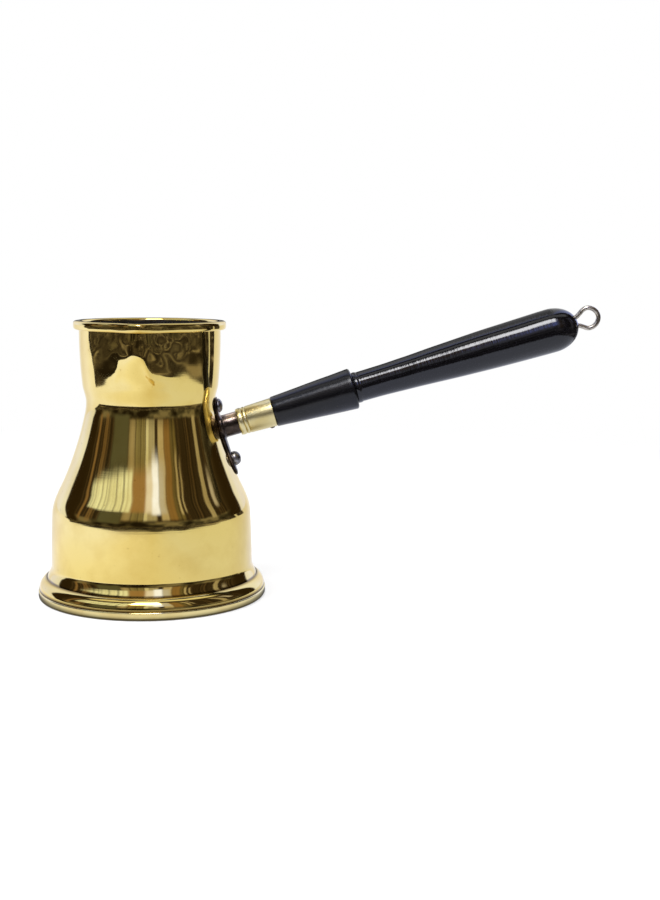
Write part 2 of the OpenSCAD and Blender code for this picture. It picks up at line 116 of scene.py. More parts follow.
def on_circle(centre, radius, angle):
    """A point of a circle, at an angle in degrees."""
    a = math.radians(angle)
    return (centre[0] + radius * math.cos(a), centre[1] + radius * math.sin(a))


def arc(centre, radius, start, end, steps=10):
    """Points of an arc between two angles in degrees."""
    return [on_circle(centre, radius, start + (end - start) * k / steps)
            for k in range(steps + 1)]


SQUARENESS = 3.2


def squared(centre, radius, angle):
    """A point of a bead whose face is flatter than a circle's, at an angle in degrees."""
    flat = 2 / SQUARENESS
    c, s = math.cos(math.radians(angle)), math.sin(math.radians(angle))
    return (centre[0] + radius * math.copysign(abs(c) ** flat, c),
            centre[1] + radius * math.copysign(abs(s) ** flat, s))


def bell(value, middle, width):
    """1 at the middle, falling off smoothly to both sides."""
    return math.exp(-((value - middle) / width) ** 2)


def smooth_step(low, high, value):
    """0 at low and 1 at high, which may be the lower number."""
    t = min(1, max(0, (value - low) / (high - low)))
    return t * t * (3 - 2 * t)


SHOULDER_Z = FOOT_H + WALL_H
FLARE_Z = SHOULDER_Z + SHOULDER_H
THROAT_Z = FLARE_Z + FLARE_H
WAIST_Z = THROAT_Z + WAIST_TURN_H
NECK_Z = WAIST_Z + NECK_ROLL_H
RIM_Z = NECK_Z + NECK_H
# Stations up the outside: height, radius, slope
WALL = [
    (FOOT_H, WALL_R, -0.02),
    (SHOULDER_Z, WALL_R - WALL_DRAFT, -0.06),
    (FLARE_Z, FLARE_R, -0.47),
    (THROAT_Z, WAIST_R + 0.5, -0.22),
    (WAIST_Z, WAIST_R, 0),
    (NECK_Z, WAIST_R + NECK_STEP, 0.1),
    (RIM_Z, MOUTH_R, -0.02),
]
SKIRT_R = BASE_R - BASE_T - FIT
BEAD = (SKIRT_R + BEAD_OUT - BEAD_R, BEAD_Z)
BEAD_LIP = on_circle(BEAD, BEAD_R - BEAD_LIP_R, BEAD_TOP)
GROOVE = on_circle(BEAD_LIP, BEAD_LIP_R, BEAD_LIP_TO)
OGEE_OUT = GROOVE[0] - WALL_R
OGEE = [
    (GROOVE[1], GROOVE[0], -0.35),
    (OGEE_TURN_H, WALL_R + OGEE_TURN_SHARE * OGEE_OUT, -0.46),
    (OGEE_COVE_H, WALL_R + OGEE_COVE_OUT, -0.24),
    (FOOT_H, WALL_R, -0.02),
]


def wall_at(z):
    return radius_at(WALL, z)


def lean_at(z):
    """Outward lean of the wall's normal above the horizontal."""
    return math.atan(-slope_at(WALL, z))


# ---- where things go --------------------------------------------------------------------

ALONG = Vector((math.cos(math.radians(HANDLE_TILT)), 0, math.sin(math.radians(HANDLE_TILT))))
ABOVE = Vector((-ALONG.z, 0, ALONG.x))
HANDLE_ROOT = Vector((wall_at(HANDLE_Z), 0, HANDLE_Z)) * MM
COLLAR_S = FERRULE_S + FERRULE_L
GRIP_S = COLLAR_S + COLLAR_L
GRIP_END_S = GRIP_S + GRIP_L
TANG_S = NECK_L - TANG_IN
LIP_DIRECTION = math.radians(-LIP_TURN)


def on_handle(s, out=0, side=0):
    """A point s along the handle from the wall, out above its axis and side across it."""
    return HANDLE_ROOT + (ALONG * s + ABOVE * out + Y * side) * MM


def off_wall(z, out, across=0):
    """A point out from the wall on the handle's side, along the wall's normal at height z."""
    lean = lean_at(z)
    normal = Vector((math.cos(lean), 0, math.sin(lean)))
    up = Vector((-math.sin(lean), 0, math.cos(lean)))
    return (Vector((wall_at(z), 0, z)) + normal * out + up * across) * MM


# ---- hand tools -------------------------------------------------------------------------

def clear_selection():
    if bpy.context.object and bpy.context.object.mode != "OBJECT":
        bpy.ops.object.mode_set(mode="OBJECT")
    bpy.ops.object.select_all(action="DESELECT")


def work_on(piece):
    """Takes a piece in hand alone."""
    clear_selection()
    piece.select_set(True)
    bpy.context.view_layer.objects.active = piece


def settle(piece, angle=40):
    """Leaves a finished piece at the origin with smooth faces and creases where it has them."""
    work_on(piece)
    bpy.ops.object.transform_apply(location=True, rotation=True, scale=True)
    bpy.ops.object.shade_smooth_by_angle(angle=math.radians(angle))
    piece.select_set(False)
    return piece


def draw_line(name, places):
    """One vertex drawn out along places, as a line of edges. It stays in edit mode."""
    clear_selection()
    bpy.ops.mesh.primitive_plane_add(size=MM, location=places[0])
    piece = bpy.context.object
    piece.name = piece.data.name = name
    bpy.ops.object.transform_apply(location=True)
    bpy.ops.object.mode_set(mode="EDIT")
    bpy.ops.mesh.merge(type="CENTER")
    for a, b in zip(places, places[1:]):
        bpy.ops.mesh.extrude_vertices_move(TRANSFORM_OT_translate={"value": b - a})
    return piece


def close_skin():
    """Merges doubles and turns every face outwards, in edit mode."""
    bpy.ops.mesh.select_all(action="SELECT")
    bpy.ops.mesh.remove_doubles(threshold=0.002 * MM)
    bpy.ops.mesh.normals_make_consistent(inside=False)
    bpy.ops.object.mode_set(mode="OBJECT")


def turn(name, places, centre, axis, steps):
    """A line spun round an axis on the lathe, closed into a solid."""
    piece = draw_line(name, places)
    bpy.ops.mesh.select_all(action="SELECT")
    bpy.ops.mesh.spin(steps=steps, angle=TAU, center=centre, axis=axis)
    close_skin()
    return piece


def turn_on_handle(name, profile, steps=96):
    """A solid turned about the handle's axis from (distance along, radius) points."""
    places = [on_handle(s, out=r) for s, r in profile]
    return turn(name, places, on_handle(0), ALONG, steps)


def use_modifier(piece, kind, **settings):
    """Adds a modifier, sets it and applies it."""
    work_on(piece)
    modifier = piece.modifiers.new(kind.title(), kind)
    for key, value in settings.items():
        setattr(modifier, key, value)
    bpy.ops.object.modifier_apply(modifier=modifier.name)


# How wide and how deep hand work leaves a surface uneven
PLANISHING, RIVET_DENTS, FERRULE_DENTS = (11, 0.1), (1.6, 0.35), (4, 0.1)
SPOKESHAVE, LATHE_CHATTER = (9, 0.16), (14, 0.22)


def hand_work(piece, name, width_mm, depth_mm, fineness=1):
    """Leaves the shallow unevenness of hand work in a surface."""
    texture = bpy.data.textures.new(name, "CLOUDS")
    texture.noise_scale = width_mm * MM
    texture.noise_depth = fineness
    use_modifier(piece, "DISPLACE", texture=texture, texture_coords="LOCAL",
                 strength=depth_mm * MM, mid_level=0.5)


# ---- the spun body and its pressed lip --------------------------------------------------

LIP_FOOT_Z = RIM_Z - LIP_DROP
LIP_NOSE_W = 6
LIP_KNEE_H, LIP_SWELL_H, LIP_SWELL_W, LIP_SWELL_SIDE, LIP_SWELL_POWER = 1.2, 8.8, 5.4, -3, 5
LIP_THROAT_IN, LIP_THROAT_W, LIP_THROAT_H, LIP_THROAT_Z = 0.55, 2.6, 2.1, RIM_Z - 3.8
SLIP_SIDE, SLIP_W, SLIP_OUT = 17, 5, 0.12
CREASES_W, CREASES_Z = 14, LIP_FOOT_Z - 4
CREASE_OUT, HIGH_CREASE_OUT, FINE_CREASE_OUT = 0.36, 0.2, 0.1
CREASE_SIZE, FINE_CREASE_SIZE = (4.4, 4.6), (2.2, 2.4)
CREASE_SLICE, FINE_CREASE_SLICE = 3.1, 8.4


def lip_push(side, z):
    """How far the pressed lip stands out of the round neck, side off its middle, at height z.

    It swells out of the neck as a dome, and stands up again above the dome as a narrow nose."""
    above = z - LIP_FOOT_Z
    nose = LIP_REACH * bell(side, 0, LIP_NOSE_W)
    off_swell = abs((side - LIP_SWELL_SIDE) / LIP_SWELL_W)
    knee = LIP_KNEE_H + LIP_SWELL_H * math.exp(-off_swell ** LIP_SWELL_POWER)
    # Under the rim the nose draws in again a little
    throat = LIP_THROAT_IN * bell(side, 0, LIP_THROAT_W) * bell(z, LIP_THROAT_Z, LIP_THROAT_H)
    # The neck was left standing out a little where the pressing tool slipped
    slip = SLIP_OUT * bell(side, SLIP_SIDE, SLIP_W)
    slip *= smooth_step(-2, 6, above) * smooth_step(LIP_DROP, 7, above)
    return nose * smooth_step(0, knee, above) - throat + slip


def creases(side, z, size, cut):
    return noise.noise(Vector((side / size[0], z / size[1], cut)))


def crease_push(side, z):
    """The finger-wide creases that the pressing makes in the neck to both sides of the lip."""
    near = bell(side, 0, CREASES_W)
    deep = smooth_step(CREASES_Z, RIM_Z - 6, z) * (1 - 0.7 * smooth_step(RIM_Z - 4, RIM_Z, z))
    high = smooth_step(RIM_Z - 13, RIM_Z - 7, z)
    coarse = creases(side, z, CREASE_SIZE, CREASE_SLICE)
    fine = creases(side, z, FINE_CREASE_SIZE, FINE_CREASE_SLICE)
    out = (CREASE_OUT + HIGH_CREASE_OUT * high) * coarse + FINE_CREASE_OUT * fine
    return near * deep * out


def press_lip(piece):
    """Presses the lip out of the neck, inside and outside together, with its creases."""
    for v in piece.data.vertices:
        radius = math.hypot(v.co.x, v.co.y) / MM
        z = v.co.z / MM
        if z < CREASES_Z or radius < 1:
            continue
        angle = math.atan2(v.co.y, v.co.x)
        off = math.atan2(math.sin(angle - LIP_DIRECTION), math.cos(angle - LIP_DIRECTION))
        if abs(off) > math.pi / 2:
            continue
        side = radius * off
        push = lip_push(side, min(z, RIM_Z + 1)) + crease_push(side, z)
        v.co.x += math.cos(angle) * push * MM
        v.co.y += math.sin(angle) * push * MM


def pot_profile():
    """The sheet's closed section: foot, ogee, wall, neck and rolled rim, then back inside."""
    rim_top = BASE_RIM_H + FIT
    outside = [(SKIRT_R, BASE_T), (SKIRT_R, rim_top), (SKIRT_R + BEAD_STEP, rim_top)]
    outside += arc(BEAD, BEAD_R, 0, BEAD_TOP, 20)
    outside += arc(BEAD_LIP, BEAD_LIP_R, BEAD_LIP_FROM, BEAD_LIP_TO, 6)
    outside += [(radius_at(OGEE, z), z) for z in marks(OGEE, 12)[1:-1]]
    outside += [(wall_at(z), z) for z in marks(WALL, 14)[:-1]]
    bead = [squared((MOUTH_R + RIM_BEAD_OUT, RIM_Z), RIM_BEAD_R, a)
            for a in range(RIM_BEAD_FROM, RIM_BEAD_TO + 1, RIM_BEAD_STEP)]
    inside = []
    for z in marks(WALL, 14):
        lean = lean_at(z)
        inside.append((wall_at(z) - SHEET * math.cos(lean), z - SHEET * math.sin(lean)))
    inside[-1] = (inside[-1][0], RIM_Z - 0.1)
    inside.reverse()
    ogee_in = []
    for z in marks(OGEE, 12)[1:-1]:
        slope = slope_at(OGEE, z)
        ogee_in.append((radius_at(OGEE, z) - SHEET * math.hypot(1, slope), z))
    ogee_in.reverse()
    bead_in = arc(BEAD, BEAD_R - SHEET, BEAD_TOP, 12, 12)
    foot_in = [(SKIRT_R - SHEET, BASE_RIM_H), (SKIRT_R - SHEET, BASE_T), (SKIRT_R, BASE_T)]
    return outside + bead + inside + ogee_in + bead_in + foot_in


LINED_FROM_Z, LINED_TO_Z = 4, RIM_Z + 0.4


def line_with_tin(piece):
    """Gives the faces that look into the pot the second material, the tin lining."""
    for face in piece.data.polygons:
        radius = math.hypot(face.center.x, face.center.y)
        out = face.center.x * face.normal.x + face.center.y * face.normal.y
        z = face.center.z / MM
        wall = out < -0.3 * radius and LINED_FROM_Z < z < LINED_TO_Z
        bottom = face.normal.z > 0.7 and radius < (SKIRT_R - SHEET) * MM and z < LINED_FROM_Z
        if wall or bottom:
            face.material_index = 1


def make_pot_body():
    """The body: one sheet spun over a former, its lip pressed out, then planished."""
    places = [Vector((r, 0, z)) * MM for r, z in pot_profile()]
    body = turn("pot_body_spun", places, Vector(), Z, 288)
    press_lip(body)
    hand_work(body, "planishing", *PLANISHING)
    return settle(body, 50)


def make_base():
    """The base: a disc whose rim is turned up round the skirt and rubbed down to a bright edge."""
    edge = (BASE_R - BASE_EDGE_R, BASE_EDGE_R)
    rim_top = BASE_T / 2
    profile = [(0, 0), (12, 0), (24, 0), (34, 0)]
    profile += arc(edge, BASE_EDGE_R, -90, 0)
    profile += [(BASE_R - 0.06, BASE_RIM_H * 0.55)]
    profile += arc((BASE_R - rim_top, BASE_RIM_H - rim_top), rim_top, 0, 180)
    profile += [(BASE_R - BASE_T, BASE_T + 0.3), (BASE_R - BASE_T - 0.3, BASE_T), (20, BASE_T),
                (0, BASE_T)]
    places = [Vector((r, 0, z)) * MM for r, z in profile]
    return settle(turn("base_plate_seamed", places, Vector(), Z, 192), 50)


# ---- the cast bracket and its rivets ----------------------------------------------------

def plate_thickness(z):
    half = (PLATE_HIGH_Z - PLATE_LOW_Z) / 2
    u = (z - PLATE_LOW_Z - half) / half
    return PLATE_TIP_T + (PLATE_T - PLATE_TIP_T) * (1 - u * u)


def plate_half_width(from_end):
    end, whole = PLATE_END_W / 2, (PLATE_HIGH_Z - PLATE_LOW_Z) / 2
    if from_end < end:
        return math.sqrt(max(0.01, end * end - (end - from_end) ** 2))
    swell = math.sin(math.pi / 2 * (from_end - end) / (whole - end))
    return end + (PLATE_W / 2 - end) * swell * swell


def make_bracket():
    """A leaf of bronze that lies on the wall, with the handle's neck growing out of it."""
    rows, columns = 60, 30
    clear_selection()
    bpy.ops.mesh.primitive_grid_add(x_subdivisions=columns, y_subdivisions=rows, size=2)
    plate = bpy.context.object
    plate.name = plate.data.name = "handle_bracket_cast"
    long = PLATE_HIGH_Z - PLATE_LOW_Z
    bpy.ops.object.mode_set(mode="EDIT")
    bpy.ops.mesh.extrude_region_move(TRANSFORM_OT_translate={"value": (0, 0, 1)})
    bpy.ops.object.mode_set(mode="OBJECT")
    for v in plate.data.vertices:
        across, along, top = v.co.x, v.co.y, v.co.z > 0.5
        from_low = long * (1 - math.cos(math.pi * (along + 1) / 2)) / 2
        z = PLATE_LOW_Z + from_low
        side = across * plate_half_width(min(from_low, long - from_low))
        wall = wall_at(z)
        around = math.asin(side / (wall + 1))
        # The border is rounded off, as a casting is
        border = (1 - abs(across) ** 6) ** 0.5 if abs(across) < 1 else 0
        from_end = min(from_low, long - from_low)
        border *= min(1, math.sqrt(max(0.02, from_end) / PLATE_END_ROUND))
        share = PLATE_BORDER_SHARE + (1 - PLATE_BORDER_SHARE) * border
        out = SEAT + (plate_thickness(z) * share if top else 0)
        lean = lean_at(z)
        radius = wall + out * math.cos(lean)
        v.co = Vector((radius * math.cos(around), radius * math.sin(around),
                       z + out * math.sin(lean))) * MM
    bpy.ops.object.mode_set(mode="EDIT")
    close_skin()
    root = PLATE_T + NECK_FILLET
    neck_r = NECK_D / 2
    neck_line = [(NECK_SUNK, 0), (NECK_SUNK, neck_r + NECK_FILLET)]
    neck_line += [(root - NECK_FILLET * math.cos(math.radians(a)),
                   neck_r + NECK_FILLET * (1 - math.sin(math.radians(a))))
                  for a in range(0, 91, 10)]
    neck_line += [(NECK_L - NECK_EDGE, neck_r), (NECK_L, neck_r - NECK_EDGE),
                  (NECK_L, TANG_D / 2 + FIT), (TANG_S - FIT, TANG_D / 2 + FIT), (TANG_S - FIT, 0)]
    neck = turn_on_handle("handle_neck_cast", neck_line, 64)
    use_modifier(plate, "BOOLEAN", object=neck, operation="UNION", solver="EXACT")
    bpy.data.objects.remove(neck)
    use_modifier(plate, "REMESH", mode="VOXEL", voxel_size=CASTING_GRAIN * MM)
    use_modifier(plate, "SMOOTH", factor=0.5, iterations=6)
    return settle(plate, 180)


def make_rivet(name, z, head_h, flattening):
    """A rivet hammered over by hand: a domed head, a shank through the wall, a tail inside."""
    head_r = RIVET_HEAD_D / 2
    seat = SEAT + 0.8 * plate_thickness(z)
    tail_r = RIVET_TAIL_D / 2
    reach = wall_at(z) - 2 * SHEET
    inner = -SHEET - FIT - (reach - math.sqrt(reach * reach - tail_r * tail_r))
    line = [(seat + head_h * math.cos(math.radians(a)) ** flattening,
             head_r * math.sin(math.radians(a))) for a in range(0, 91, 6)]
    line += [(seat - 0.25, head_r * 0.97), (seat - 0.3, RIVET_D / 2), (inner, RIVET_D / 2),
             (inner, tail_r * 0.94), (inner - RIVET_TAIL_H * 0.5, tail_r),
             (inner - RIVET_TAIL_H * 0.9, tail_r * 0.8), (inner - RIVET_TAIL_H, 0)]
    places = [off_wall(z, out, across) for out, across in line]
    axis = off_wall(z, 1) - off_wall(z, 0)
    rivet = turn(name, places, off_wall(z, 0), axis, 48)
    hand_work(rivet, name + "_dents", *RIVET_DENTS, fineness=2)
    return settle(rivet, 50)


# ---- ferrule, brad and turned wood ------------------------------------------------------

def make_ferrule():
    """A brass tube with two beads rolled into its pot end."""
    radius, bore = FERRULE_D / 2, NECK_D / 2 + FIT
    profile = [(0, bore)]
    start = 0
    for length in FERRULE_BEADS:
        for k in range(13):
            t = k / 12
            profile.append((start + length * t,
                            radius - FERRULE_GROOVE * (1 - math.sqrt(math.sin(math.pi * t)))))
        start += length
    profile += [(start + 0.15, radius - 0.08), (start + 0.35, radius),
                (FERRULE_L - 0.2, FERRULE_WIDE_D / 2), (FERRULE_L, FERRULE_WIDE_D / 2 - 0.2),
                (FERRULE_L, bore), (0, bore)]
    ferrule = turn_on_handle("ferrule_rolled", [(FERRULE_S + s, r) for s, r in profile])
    hand_work(ferrule, "ferrule_dents", *FERRULE_DENTS)
    return settle(ferrule, 35)


def make_brad():
    """The brad: a small domed head under the ferrule, on a shank through the brass."""
    seat = FERRULE_WIDE_D / 2 - FERRULE_GROOVE
    s = COLLAR_S - BRAD_BACK
    head_r = BRAD_HEAD_D / 2
    line = [(seat + BRAD_HEAD_H * math.cos(math.radians(a)), head_r * math.sin(math.radians(a)))
            for a in range(0, 91, 10)]
    line += [(seat, BRAD_D / 2), (seat - BRAD_L + 0.6, BRAD_D / 2), (seat - BRAD_L, 0)]
    places = [on_handle(s + across, out=-down) for down, across in line]
    return settle(turn("ferrule_brad_domed", places, on_handle(s), ABOVE, 32), 50)


def make_collar():
    """The tapered black collar: ferrule tenon at one end, socket for the grip at the other."""
    tenon_s, tenon_r = NECK_L + 2 * FIT, NECK_D / 2
    bore = TANG_D / 2 + FIT
    socket = GRIP_S - SPIGOT_L - 2 * FIT
    radius, taper_from = COLLAR_D / 2, 0.4
    line = [(tenon_s, bore), (tenon_s, tenon_r - 0.2), (tenon_s + 0.2, tenon_r),
            (COLLAR_S, tenon_r), (COLLAR_S, radius - 0.35), (COLLAR_S + 0.12, radius - 0.1),
            (COLLAR_S + taper_from, radius)]
    steps = 24
    for k in range(1, steps):
        t = k / steps
        line.append((COLLAR_S + taper_from + (COLLAR_L - taper_from - COLLAR_EDGE) * t,
                     radius + (COLLAR_WIDE_D - COLLAR_D) / 2 * t))
    line += arc((GRIP_S - COLLAR_EDGE, COLLAR_WIDE_D / 2 - COLLAR_EDGE), COLLAR_EDGE, 90, 0, 8)
    line += [(GRIP_S, SPIGOT_D / 2 + FIT), (socket, SPIGOT_D / 2 + FIT), (socket, bore),
             (tenon_s, bore)]
    collar = turn_on_handle("handle_collar_turned", line)
    hand_work(collar, "spokeshave", *SPOKESHAVE)
    return settle(collar, 40)


def make_grip():
    """The grip: a small root bead, a long swell to the palm and a round end."""
    bore, socket_end = TANG_D / 2 + FIT, TANG_S + TANG_L + 2 * FIT
    side = [(GRIP_ROOT_L, GRIP_D / 2, 0), (GRIP_MID_S, GRIP_MID_D / 2, 0.054),
            (GRIP_L - GRIP_END_L, GRIP_PALM_D / 2, 0.01)]
    line = [(-SPIGOT_L, bore), (-SPIGOT_L, SPIGOT_D / 2 - 0.3), (-SPIGOT_L + 0.3, SPIGOT_D / 2),
            (0, SPIGOT_D / 2)]
    for k in range(13):
        t = k / 12
        line.append((GRIP_ROOT_L * t,
                     GRIP_D / 2 + GRIP_ROOT_H * math.sqrt(max(0, math.sin(math.pi * t)))))
    line += [(s, radius_at(side, s)) for s in marks(side, 40)[1:]]
    line += [(GRIP_L - GRIP_END_L + GRIP_END_L * math.sin(math.radians(a)),
              GRIP_PALM_D / 2 * math.cos(math.radians(a))) for a in range(4, 91, 4)]
    line = [(GRIP_S + s, r) for s, r in line]
    line[-1] = (GRIP_END_S, 0)
    line += [(socket_end, 0), (socket_end, bore), (GRIP_S - SPIGOT_L, bore)]
    grip = turn_on_handle("handle_grip_turned", line, 128)
    hand_work(grip, "lathe_chatter", *LATHE_CHATTER)
    return settle(grip, 40)


def make_loop():
    """One length of wire: two legs side by side in the wood, opened into a hand-bent ring."""
    half = []
    for k in range(7):
        half.append((LEG_GAP / 2, -LEG_L + (LEG_L - 0.8) * k / 6))
    aim = math.atan2(LEG_GAP / 2, LOOP_OUT)
    touch = aim + math.acos(LOOP_R / math.hypot(LEG_GAP / 2, LOOP_OUT))
    ring = []
    steps = 36
    for k in range(steps + 1):
        a = touch + (TAU - 2 * touch) * k / steps
        # The bender leaves the far side a little square
        out = LOOP_R * (1 + 0.012 * math.cos(4 * a + 0.6))
        ring.append((out * math.sin(a), LOOP_OUT - out * math.cos(a)))
    line = half + ring + [(-x, s) for x, s in reversed(half)]
    clear_selection()
    bpy.ops.curve.primitive_nurbs_path_add(radius=MM)
    wire = bpy.context.object
    wire.name = wire.data.name = "hanging_loop_bent"
    wire.data.splines.clear()
    spline = wire.data.splines.new("NURBS")
    spline.points.add(len(line) - 1)
    for point, (x, s) in zip(spline.points, line):
        place = on_handle(GRIP_END_S + s, out=LOOP_RISE - x)
        point.co = (*place, 1)
    spline.use_endpoint_u = True
    spline.order_u = 4
    spline.resolution_u = 4
    wire.data.bevel_depth = WIRE_R * MM
    wire.data.bevel_resolution = 5
    wire.data.use_fill_caps = True
    work_on(wire)
    bpy.ops.object.convert(target="MESH")
    bpy.ops.object.mode_set(mode="EDIT")
    close_skin()
    return settle(wire, 60)


# ---- materials --------------------------------------------------------------------------

def tone(hex_colour):
    """An sRGB hex colour as linear red, green, blue and alpha."""
    parts = [int(hex_colour[k:k + 2], 16) / 255 for k in (1, 3, 5)]
    return (*[c / 12.92 if c <= 0.04045 else ((c + 0.055) / 1.055) ** 2.4 for c in parts], 1)


def add(tree, kind, links=None, inputs=None, **settings):
    """Adds one node: settings on the node, plain values and links on its inputs."""
    node = tree.nodes.new("ShaderNode" + kind)
    for key, value in settings.items():
        setattr(node, key, value)
    for key, value in (inputs or {}).items():
        node.inputs[key].default_value = value
    for key, (source, output) in (links or {}).items():
        tree.links.new(source.outputs[output], node.inputs[key])
    return node


# The next ones give one output, as a (node, output) pair to link on

def ramp(tree, source, *stops):
    """A colour ramp with (position, colour) stops."""
    node = add(tree, "ValToRGB", {"Fac": source})
    bar = node.color_ramp.elements
    bar[0].position, bar[0].color = stops[0]
    bar[1].position, bar[1].color = stops[-1]
    for position, colour in stops[1:-1]:
        bar.new(position).color = colour
    return (node, "Color")


def clouds(tree, where, scale, detail, roughness=0.5):
    """An uneven grey pattern, about 1 / scale wide."""
    node = add(tree, "TexNoise", {"Vector": where},
               {"Scale": scale, "Detail": detail, "Roughness": roughness})
    return (node, "Fac")


def fade(tree, value, low, high, at_low=0.0, at_high=1.0, ease="SMOOTHSTEP"):
    """Goes from at_low to at_high while a value goes from low to high."""
    node = add(tree, "MapRange", {"Value": value},
               {"From Min": low, "From Max": high, "To Min": at_low, "To Max": at_high},
               interpolation_type=ease)
    return (node, "Result")


def times(tree, a, b):
    return (add(tree, "Math", {0: a, 1: b}, operation="MULTIPLY"), 0)


def dial(tree, value, low, high, edge_low, edge_high):
    """1 where a value lies between low and high, falling to 0 over an edge at each end."""
    return times(tree, fade(tree, value, low - edge_low, low + edge_low),
                 fade(tree, value, high - edge_high, high + edge_high, 1.0, 0.0))


def relief(tree, height, strength, depth_mm, over=None):
    """A fine relief, over another one if there is one."""
    node = add(tree, "Bump", {"Height": height, **({"Normal": over} if over else {})},
               {"Strength": strength, "Distance": depth_mm * MM})
    return (node, "Normal")


def new_finish(name):
    finish = bpy.data.materials.new(name)
    finish.use_nodes = True
    finish.node_tree.nodes.clear()
    where = add(finish.node_tree, "TexCoord")
    return finish, finish.node_tree, (where, "Object")


def coat(tree, links, inputs):
    """Puts one shader on the surface."""
    shader = add(tree, "BsdfPrincipled", links, inputs)
    add(tree, "OutputMaterial", {"Surface": (shader, "BSDF")})


BUFFING_BLOOM = 0.03
# The last brown is painted shade, laid in the foot's crevices
SPECK_BROWN, SPECK_AMOUNT, CREVICE_SHADE_BROWN = "#A98A55", 0.4, "#7C6636"


def spun_brass(name, hue, tarnish, axis_turn=None, line_mm=0.35, shine=0.05, crevices=()):
    """Yellow brass, spun on a lathe and buffed to a mirror by hand: fine rings round the axis,
    Painted shade darkens the crevices to brown, given as (low, high, soft edge) heights in mm.
    Old polish stays brown in the crevices, given as (low, high, soft edge) heights in mm."""
    finish, tree, where = new_finish(name)
    source = where
    if axis_turn:
        turned = add(tree, "Mapping", {"Vector": where}, {"Rotation": axis_turn})
        source = (turned, "Vector")
    flat = add(tree, "Mapping", {"Vector": source}, {"Scale": (12, 12, 1 / (line_mm * MM))})
    rings = clouds(tree, (flat, "Vector"), 1.0, 3.0, 0.6)
    bloom = clouds(tree, source, 1 / (14 * MM), 4.0, 0.55)
    specks = clouds(tree, source, 1 / (1.3 * MM), 2.0)
    clean = ramp(tree, bloom, (0.35, tone(tarnish)), (0.6, tone(hue)))
    specked = ramp(tree, specks, (0.22, tone(SPECK_BROWN)), (0.28, tone("#FFFFFF")))
    colour = add(tree, "Mix", {6: clean, 7: specked}, {0: SPECK_AMOUNT}, data_type="RGBA",
                 blend_type="MULTIPLY")
    height = add(tree, "SeparateXYZ", {"Vector": where})
    # Painted shade: each crevice is darkened towards a flat brown
    for low, high, soft in crevices:
        inside = dial(tree, (height, "Z"), low * MM, high * MM, soft * MM, soft * MM)
        colour = add(tree, "Mix", {0: inside, 6: (colour, 2)}, {7: tone(CREVICE_SHADE_BROWN)},
                     data_type="RGBA")
    gloss = fade(tree, bloom, 0.35, 0.65, shine + BUFFING_BLOOM, shine, "LINEAR")
    swell = clouds(tree, source, 1 / (7 * MM), 1.0, 0.4)
    ripples = relief(tree, rings, 0.16, 0.015)
    coat(tree, {"Base Color": (colour, 2), "Roughness": gloss,
                "Normal": relief(tree, swell, 0.1, 0.2, over=ripples)}, {"Metallic": 1.0})
    return finish


def tin_lining():
    """Tin wiped on hot over the brass inside: grey, smeary and dulled brown by coffee."""
    finish, tree, where = new_finish("tin_wiped_lining")
    smears = clouds(tree, where, 1 / (6 * MM), 4.0, 0.6)
    colour = ramp(tree, smears, (0.35, tone("#5D564C")), (0.65, tone("#99938A")))
    gloss = fade(tree, smears, 0.3, 0.7, 0.5, 0.36, "LINEAR")
    coat(tree, {"Base Color": colour, "Roughness": gloss,
                "Normal": relief(tree, smears, 0.2, 0.2)}, {"Metallic": 1.0})
    return finish


# A painted highlight, pale pink, on top of the handle's neck
NECK_HIGHLIGHT_S, NECK_HIGHLIGHT_OUT, NECK_HIGHLIGHT_R, NECK_HIGHLIGHT_FULL_R = 4.4, 2.4, 4.2, 2.4


def cast_bronze():
    """Dark patinated bronze, cast and left from the mould: brown-black skin, and a painted
    highlight in pale pink on top of the handle's neck."""
    finish, tree, where = new_finish("bronze_cast_dark_patina")
    grain = clouds(tree, where, 1 / (0.9 * MM), 5.0, 0.6)
    blotches = clouds(tree, where, 1 / (5 * MM), 3.0, 0.55)
    patina = ramp(tree, blotches, (0.35, tone("#221A15")), (0.55, tone("#453A32")),
                  (0.75, tone("#7D6A5B")))
    # Painted highlight: within a few mm of a point on top of the neck the colour turns pale pink
    away = add(tree, "VectorMath", {0: where}, {1: on_handle(NECK_HIGHLIGHT_S, out=NECK_HIGHLIGHT_OUT)},
               operation="DISTANCE")
    painted_highlight = fade(tree, (away, "Value"), NECK_HIGHLIGHT_R * MM, NECK_HIGHLIGHT_FULL_R * MM, ease="LINEAR")
    colour = add(tree, "Mix", {0: painted_highlight, 6: patina}, {7: tone("#E0CBC2")}, data_type="RGBA")
    gloss = fade(tree, blotches, 0.3, 0.7, 0.3, 0.17, "LINEAR")
    coat(tree, {"Base Color": (colour, 2), "Roughness": gloss,
                "Normal": relief(tree, grain, 0.3, 0.12)}, {"Metallic": 0.85})
    return finish


def hammered_steel():
    """Mild steel rivets, hammered over and dulled: grey facets with darker hollows."""
    finish, tree, where = new_finish("steel_mild_hammered")
    facets = add(tree, "TexVoronoi", {"Vector": where}, {"Scale": 1 / (1.3 * MM)},
                 feature="SMOOTH_F1")
    grime = clouds(tree, where, 1 / MM, 4.0)
    colour = ramp(tree, grime, (0.35, tone("#4A4744")), (0.6, tone("#9B9793")))
    coat(tree, {"Base Color": colour, "Normal": relief(tree, (facets, "Distance"), 0.35, 0.3)},
         {"Metallic": 1.0, "Roughness": 0.33})
    return finish


def drawn_steel(name, roughness):
    """Plain steel drawn through a die: a grey wire with faint lengthwise changes of tone."""
    finish, tree, where = new_finish(name)
    streaks = clouds(tree, where, 1 / (1.4 * MM), 3.0)
    colour = ramp(tree, streaks, (0.35, tone("#8F877A")), (0.65, tone("#C9C0AE")))
    coat(tree, {"Base Color": colour, "Normal": relief(tree, streaks, 0.15, 0.1)},
         {"Metallic": 1.0, "Roughness": roughness})
    return finish


